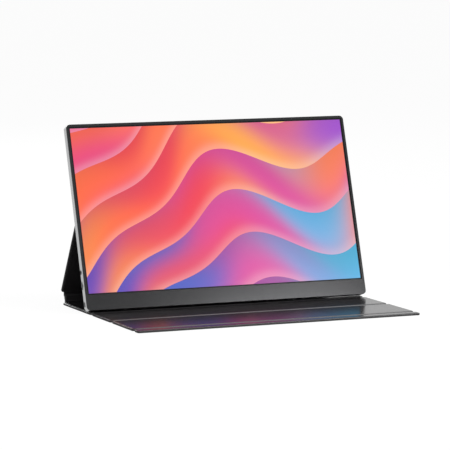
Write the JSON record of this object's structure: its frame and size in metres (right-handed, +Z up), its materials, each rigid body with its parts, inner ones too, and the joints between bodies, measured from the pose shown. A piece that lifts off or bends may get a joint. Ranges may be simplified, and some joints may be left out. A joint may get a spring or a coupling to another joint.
{
  "type": "portable monitor with cover",
  "caption": "Slim portable monitor that stands leaning back on its own folding leather cover, with a wrap-around flap that swings up over the screen.",
  "frame": {"origin": "on the desk, under the middle of the line that the monitor stands on", "axes": "+X along the screen to the viewer's right, +Y away from the viewer, +Z up"},
  "size_m": [0.3542, 0.2468, 0.2129],
  "materials": {
    "cover_leather": "satin",
    "cover_lining": "satin",
    "circuit_board": "satin",
    "stiffener_board": "matte",
    "silver_alloy": "satin",
    "grey_bezel": "satin",
    "panel_glass": "satin",
    "optical_film": "matte",
    "light_guide_acrylic": "gloss",
    "led_bar": "matte",
    "white_frame_plastic": "matte",
    "tray_metal": "satin",
    "amber_film": "gloss",
    "cable_black": "matte",
    "chip_black": "matte",
    "shield_metal": "satin",
    "screw_steel": "satin",
    "socket_metal": "satin",
    "black_plastic": "matte",
    "switch_metal": "satin",
    "button_black": "satin",
    "dial_metal": "satin",
    "plate_steel": "satin",
    "magnet_metal": "gloss"
  },
  "bodies": {
    "base": {"base_panel_leather": "cover_leather", "base_panel_lining": "cover_lining", "base_panel_board": "stiffener_board"},
    "spine": {"spine_leather": "cover_leather", "spine_lining": "cover_lining", "spine_board": "stiffener_board"},
    "support_panel": {"support_panel_leather": "cover_leather", "support_panel_lining": "cover_lining", "support_panel_board": "stiffener_board"},
    "mount_panel": {"mount_panel_leather": "cover_leather", "mount_panel_lining": "cover_lining", "mount_panel_board": "stiffener_board", "mount_magnets": "magnet_metal"},
    "monitor": {"rear_cover": "silver_alloy", "front_bezel": "grey_bezel", "lcd_glass": "panel_glass", "film_stack": "optical_film", "light_guide": "light_guide_acrylic", "led_bar": "led_bar", "panel_frame": "white_frame_plastic", "backlight_tray": "tray_metal", "panel_driver_board": "circuit_board", "panel_flexes": "amber_film", "display_cable": "cable_black", "main_board": "circuit_board", "scaler_chip": "chip_black", "board_shield": "shield_metal", "board_screws": "screw_steel", "usb_c_power": "socket_metal", "usb_c_video": "socket_metal", "mini_hdmi_port": "socket_metal", "audio_jack": "black_plastic", "button_board": "circuit_board", "power_switch": "switch_metal", "dial_switch": "switch_metal", "speaker_left": "black_plastic", "speaker_right": "black_plastic", "steel_plates": "plate_steel"},
    "power_button": {"power_button": "button_black"},
    "dial_carrier": {"dial_carrier": "black_plastic"},
    "menu_dial": {"menu_dial": "dial_metal"},
    "middle_panel": {"middle_panel_leather": "cover_leather", "middle_panel_lining": "cover_lining", "middle_panel_board": "stiffener_board"},
    "front_panel": {"front_panel_leather": "cover_leather", "front_panel_lining": "cover_lining", "front_panel_board": "stiffener_board"},
    "closing_lip": {"closing_lip_leather": "cover_leather", "closing_lip_lining": "cover_lining", "closing_lip_board": "stiffener_board", "lip_magnets": "magnet_metal"}
  },
  "joints": [
    {"name": "spine_fold", "type": "hinge", "parent": "base", "child": "spine", "pos_m": [0, 0.08574, 0.0013], "axis": [1, 0, 0], "range_deg": [0, 47.75]},
    {"name": "support_fold", "type": "hinge", "parent": "spine", "child": "support_panel", "pos_m": [0, 0.09059, 0.01271], "axis": [1, 0, 0], "range_deg": [-55.08, 0]},
    {"name": "mount_fold", "type": "hinge", "parent": "support_panel", "child": "mount_panel", "pos_m": [0, 0.03583, 0.1058], "axis": [1, 0, 0], "range_deg": [0, 25.43]},
    {"name": "monitor_lift", "type": "slide", "parent": "mount_panel", "child": "monitor", "axis": [0, 0.309, 0.9511], "range_m": [0, 0.21]},
    {"name": "power_press", "type": "slide", "parent": "monitor", "child": "power_button", "axis": [1, 0, 0], "range_m": [0, 0.0004], "stiffness_N_per_m": 1500, "springref_m": -0.0005},
    {"name": "dial_press", "type": "slide", "parent": "monitor", "child": "dial_carrier", "axis": [1, 0, 0], "range_m": [0, 0.0006], "stiffness_N_per_m": 1500, "springref_m": -0.0005},
    {"name": "dial_roll", "type": "hinge", "parent": "dial_carrier", "child": "menu_dial", "pos_m": [-0.1733, 0.00738, 0.03198], "axis": [0, 0.9511, -0.309], "range_deg": [-14, 14], "stiffness_Nm_per_rad": 0.02},
    {"name": "flap_fold", "type": "hinge", "parent": "base", "child": "middle_panel", "pos_m": [0, -0.00967, 0.0013], "axis": [-1, 0, 0], "range_deg": [0, 80]},
    {"name": "front_fold", "type": "hinge", "parent": "middle_panel", "child": "front_panel", "pos_m": [0, -0.07267, 0.0013], "axis": [-1, 0, 0], "range_deg": [0, 40]},
    {"name": "lip_fold", "type": "hinge", "parent": "front_panel", "child": "closing_lip", "pos_m": [0, -0.14107, 0.0013], "axis": [-1, 0, 0], "range_deg": [0, 90]}
  ],
  "couplings": [
    {"joint": "spine_fold", "follows": "support_fold", "ratio": -0.86603},
    {"joint": "mount_fold", "follows": "support_fold", "ratio": -0.46081}
  ]
}
